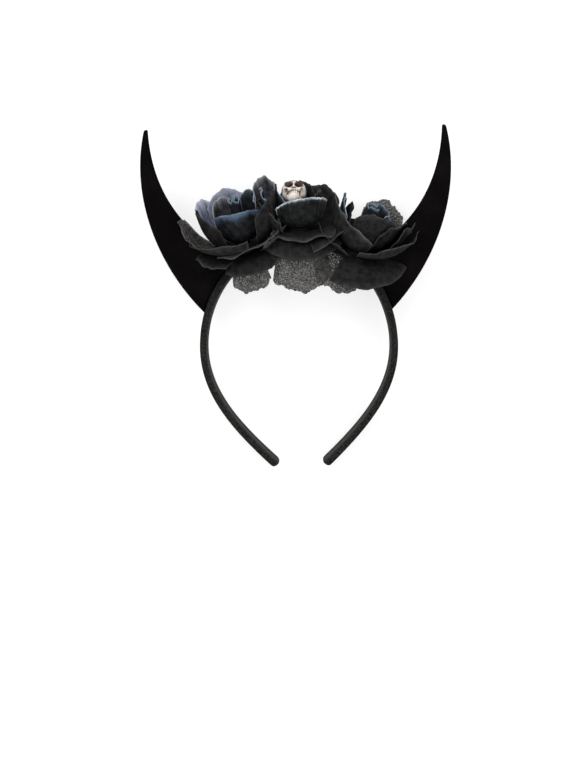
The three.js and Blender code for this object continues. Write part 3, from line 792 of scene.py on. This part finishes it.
def petal_form(spec, petal, foot, draw, q, p):
    """How far out, how high and how far round each point is, before the petal's small waves.

    q runs across the petal and p from its foot to its rim, both from 0 to 1.
    """
    across = 2 * q - 1
    reach = petal["reach"] * spec["radius"]
    rise = petal["rise"] * spec["height"]
    start = ROSE["foot_radius"]
    cut = PETAL["notch"] * waves(draw, q, (2, 4, 7), 0.6)
    cut += PETAL["fray"] * waves(draw, q, (13, 19, 29), 0.3)
    cut = np.maximum(cut * PETAL_CLOTHS[petal["cloth"]]["ragged"], -PETAL["most_out"])
    t = p * (1 - petal["sag"] * np.abs(across) ** ROSE["corner"] - cut * p**3)

    # Two middle handles, drawn from a straight line towards the hollow of the cup
    handles = []
    for third, low in ((1, foot), (2, foot + (rise - foot) * ROSE["cup_rise"])):
        r = start + (reach - start) * third / 3
        h = foot + (rise - foot) * third / 3
        handles.append((r + (reach - r) * petal["cup"], h + (low - h) * petal["cup"]))
    (r1, h1), (r2, h2) = handles
    r = bezier(start, r1, r2, reach, t) * (1 + petal["lap"] * across * p)
    opened = np.sin(math.pi / 2 * np.minimum(1, p / ROSE["open_by"]))
    width = ROSE["foot_spread"] + (1 - ROSE["foot_spread"]) * opened
    angle = np.radians(petal["turn"] + petal["spread"] * across * width)
    forward = (r - start) * (np.cos(angle) - math.cos(math.radians(petal["turn"])))
    climb = petal["tilt"] * spec["height"] * across * p * p - ROSE["facing"] * forward
    h = bezier(foot, h1, h2, rise, t) + climb
    rolled = np.clip((p - PETAL["roll_from"]) / (1 - PETAL["roll_from"]), 0, 1)
    rolled = rolled * uneven(draw, q, (2, 3))
    r += petal["lip"] * reach * rolled**1.5
    h -= petal["lip"] * reach * rolled**3 * PETAL["roll_down"]
    return r, h, angle


def petal_rim(petal, draw, q, p, sheet, r):
    """The rim's shade: a pale line along it and its sides, and a softer fade behind it."""
    cloth = PETAL_CLOTHS[petal["cloth"]]
    stride = np.linalg.norm(np.diff(sheet, axis=0), axis=2)
    to_rim = np.vstack([np.cumsum(stride[::-1], axis=0)[::-1], np.zeros((1, q.shape[1]))])
    to_side = (1 - np.abs(2 * q - 1)) * math.radians(petal["spread"]) * r
    patchy = 1 + PETAL["patchy"] * waves(draw, q, (2, 5, 9))
    fade = cloth["fade"] * np.exp(-((to_rim / (cloth["fade_by"] * patchy)) ** 2))
    line = np.exp(-((to_rim / PETAL["line_width"]) ** 4)) * uneven(draw, q, (3, 8, 13))
    side = PETAL["side_shade"] * np.exp(-((to_side / PETAL["side_width"]) ** 4))
    side = side * np.clip((p - PETAL["side_from"]) / PETAL["side_over"], 0, 1)
    return np.clip(petal["rim"] * np.maximum(fade, np.maximum(line, side)), 0, 1).ravel()


def petal_sheet(spec, petal, foot, draw):
    """The petal's grid of points in the rose's frame, with its map and rim shade."""
    columns, rows = PETAL["steps"]
    q, p = np.meshgrid(np.linspace(0, 1, columns), np.linspace(0, 1, rows) ** PETAL["row_power"])
    r, h, angle = petal_form(spec, petal, foot, draw, q, p)
    sheet = np.stack([r * np.sin(angle), h, r * np.cos(angle)], 2)
    normal = grid_normals(sheet)
    fold = petal["ruffle"] * p**3 * waves(draw, q, (2, 3, 5), 0.7)
    wander = PETAL["skew"] * waves(draw, p, (2, 3))
    pleat = petal["pleat"] * p * waves(draw, q + wander, (9, 13, 17), 0.3)
    dent = waves(draw, 0.6 * q + 0.4 * p, (2, 3)) * waves(draw, p - 0.5 * q, (1, 2))
    sheet = sheet + normal * (fold + pleat + PETAL["dent"] * p * dent)[..., None]
    reach = petal["reach"] * spec["radius"]
    length = math.hypot(reach - ROSE["foot_radius"], petal["rise"] * spec["height"] - foot)
    cloth = np.stack([(2 * q - 1) * math.radians(petal["spread"]) * reach, p * length], 2)
    return sheet, cloth.reshape(-1, 2), petal_rim(petal, draw, q, p, sheet, r)


def add_disc(builder, foot, seat, radius, matrix):
    """The small disc that a layer's petals are glued to. The lowest one goes down to its seat."""
    half = (ROSE["pitch"] - GAP) / 2
    low = foot - half if seat is None else seat
    high = foot + half
    inner = radius - DISC["round_over"]
    rings = [(inner, low), (radius, low + DISC["round_over"])]
    rings += [(radius, high - DISC["round_over"]), (inner, high)]
    steps = DISC["steps"]
    points = [(0, low, 0)]
    for r, h in rings:
        points += [(r * math.sin(TAU * k / steps), h, r * math.cos(TAU * k / steps)) for k in range(steps)]
    points.append((0, high, 0))
    last = 1 + (len(rings) - 1) * steps
    faces = []
    for k in range(steps):
        onward = (k + 1) % steps
        faces.append((0, 1 + onward, 1 + k))
        for a in range(1, last, steps):
            faces.append((a + k, a + onward, a + steps + onward, a + steps + k))
        faces.append((last + k, last + onward, last + steps))
    builder.add(moved(np.array(points), matrix), faces, "calyx")


def add_bud(builder, spec, foot, matrix, draw):
    """The rolled middle of a rose, one long strip wound round."""
    columns, rows = BUD["steps"]
    q, p = np.meshgrid(np.linspace(0, 1, columns), np.linspace(0, 1, rows))
    angle = TAU * ROSE["roll_turns"] * q
    r = ROSE["foot_radius"] * BUD["foot_share"] + ROSE["roll_pitch"] * ROSE["roll_turns"] * q
    r += ROSE["roll_flare"] * p * p * (0.6 + 0.4 * waves(draw, q, (3, 5)))
    r += BUD["wobble"] * p * waves(draw, q, (7, 11))
    notch = BUD["notch"] * waves(draw, q, (6, 9, 15), 0.6)
    top = spec["height"] * (spec["roll_top"] - BUD["step_down"] * q + notch)
    h = foot + (top - foot) * p
    sheet = np.stack([r * np.sin(angle), h, r * np.cos(angle)], 2)
    cloth = np.stack([angle * r, h], 2).reshape(-1, 2)
    rim = BUD["rim_shade"] * np.clip((p - BUD["rim_from"]) / (1 - BUD["rim_from"]), 0, 1) ** 2
    add_sheet(builder, moved(sheet, matrix), "slate", cloth, rim.ravel())


def make_rose(spec):
    matrix = rose_frame(spec)
    draw = np.random.default_rng(spec["seed"])
    petals = [dict(zip(COLUMNS, row, strict=True)) for row in spec["petals"]]
    for level, (layer, (slot, radius)) in enumerate(LAYERS.items()):
        foot = ROSE["first_foot"] + level * ROSE["pitch"]
        builder = Builder()
        add_disc(builder, foot, GAP if level == 0 else None, radius, matrix)
        if layer == "bud":
            add_bud(builder, spec, foot, matrix, draw)
        for petal in petals:
            if petal["layer"] == layer:
                sheet, cloth, rim = petal_sheet(spec, petal, foot, draw)
                add_sheet(builder, moved(sheet, matrix), petal["cloth"], cloth, rim)
        name = f"{spec['name']}_{layer}"
        builder.make(f"{name}_cloth", [name])


# Skull
def outside(points, middle, radii):
    """About how far points lie outside an ellipsoid, whose middle is given in shares of the skull."""
    size = np.array([SKULL["width"], SKULL["length"], SKULL["height"]])
    return (np.linalg.norm((points - size * middle) / radii, axis=1) - 1) * min(radii)


def smooth_union(a, b, blend):
    share = np.clip(0.5 + 0.5 * (b - a) / blend, 0, 1)
    return b + (a - b) * share - blend * share * (1 - share)


def skull_depth(points, carved):
    """How far points lie outside the skull's surface, with or without its hollows."""
    mirrored = np.abs(points) * [1, 0, 0] + points * [0, 1, 1]
    body = outside(mirrored, *SKULL_HEAD)
    for middle, radii, blend in SKULL_LUMPS.values():
        body = smooth_union(body, outside(mirrored, middle, radii), blend)
    if not carved:
        return body
    for middle, radii, blend in SKULL_HOLLOWS.values():
        body = -smooth_union(-body, outside(mirrored, middle, radii), blend)
    pitch = TEETH["pitch"] * SKULL["width"]
    front = points[:, 2] > TEETH["front"] * SKULL["height"]
    to_gap = np.abs(points[:, 0] / pitch - np.round(points[:, 0] / pitch)) * pitch
    to_bite = np.abs(points[:, 1] - TEETH["along"] * SKULL["length"])
    teeth = front * (to_bite < TEETH["height"]) * (mirrored[:, 0] < TEETH["row_half"] * SKULL["width"])
    groove = TEETH["groove"] * np.exp(-((to_gap / TEETH["groove_width"]) ** 2)) * teeth
    mouth = front * (mirrored[:, 0] < TEETH["bite_half"] * SKULL["width"])
    bite = TEETH["bite"] * np.exp(-((to_bite / TEETH["bite_width"]) ** 2)) * mouth
    return body + groove + bite


def skull_reach(directions, carved):
    """How far the skull's surface is from its middle in each direction, by halving."""
    near = np.full(len(directions), SKULL_SEARCH[0])
    far = np.full(len(directions), SKULL_SEARCH[1])
    for _ in range(HALVINGS):
        middle = (near + far) / 2
        beyond = skull_depth(directions * middle[:, None], carved) > 0
        far = np.where(beyond, middle, far)
        near = np.where(beyond, near, middle)
    return (near + far) / 2


def make_skull():
    ball = bmesh.new()
    bmesh.ops.create_icosphere(ball, subdivisions=6, radius=1)
    directions = unit(np.array([v.co for v in ball.verts]))
    faces = np.array([[v.index for v in f.verts] for f in ball.faces])
    ball.free()
    carved = skull_reach(directions, True)
    depth = skull_reach(directions, False) - carved
    shallow = np.clip(depth / CAVITY["depth"], 0, 1) ** CAVITY["power"]

    # What is deep is dark, and so is every face that touches it
    deep = np.clip((depth - CAVITY["deep_from"]) / CAVITY["deep_over"], 0, 1) * CAVITY["deep_shade"]
    np.maximum.at(deep, faces.ravel(), np.repeat(deep[faces].max(axis=1), 3))
    seat = Matrix.Translation((SKULL["across"], SKULL["up"], SKULL["forward"]))
    tilt = Matrix.Rotation(math.radians(SKULL["nod"] - 90), 4, "X")
    points = moved(directions * carved[:, None], rose_frame(ROSES[1]) @ seat @ tilt)
    builder = Builder()
    builder.add(points, faces, "skull", None, np.maximum(shallow, deep))
    builder.make("skull_resin", ["skull"])


# Room
FLOOR_HALF = 3.0
FLOOR_TONE = 0.4
FLOOR_GLOW = 0.62
WORLD_GLOW = 0.75
LAMPS = [  # name, place in metres, size in metres, watts
    ("key", (-0.7, 0.9, 1.5), 1.1, 20),
    ("fill", (0.9, -0.3, 1.3), 1.2, 9),
    ("front", (0.0, -1.3, 0.9), 1.0, 6),
]


def make_room():
    scene = bpy.context.scene
    scene.view_settings.view_transform = "Standard"
    mesh = bpy.data.meshes.new("floor")
    corners = [(x * FLOOR_HALF, y * FLOOR_HALF, 0) for x, y in ((-1, -1), (1, -1), (1, 1), (-1, 1))]
    mesh.from_pydata(corners, [], [(0, 1, 2, 3)])
    floor = bpy.data.objects.new("floor", mesh)
    scene.collection.objects.link(floor)
    material, _, shader = new_material("floor", 0.9)
    shader.inputs["Base Color"].default_value = (*grey(FLOOR_TONE), 1)
    shader.inputs["Emission Color"].default_value = (1, 1, 1, 1)
    shader.inputs["Emission Strength"].default_value = FLOOR_GLOW
    mesh.materials.append(material)
    scene.world = bpy.data.worlds.new("world")
    scene.world.use_nodes = True
    background = scene.world.node_tree.nodes["Background"]
    background.inputs["Color"].default_value = (1, 1, 1, 1)
    background.inputs["Strength"].default_value = WORLD_GLOW
    for name, place, size, power in LAMPS:
        lamp = bpy.data.objects.new(name, bpy.data.lights.new(name, "AREA"))
        lamp.data.size = size
        lamp.data.energy = power
        lamp.location = place
        lamp.rotation_euler = (-Vector(place)).to_track_quat("-Z", "Y").to_euler()
        scene.collection.objects.link(lamp)


make_camera()
make_room()
make_band()
make_horn("horn_left", -1)
make_horn("horn_right", 1)
make_skull()
for rose in ROSES:
    make_rose(rose)
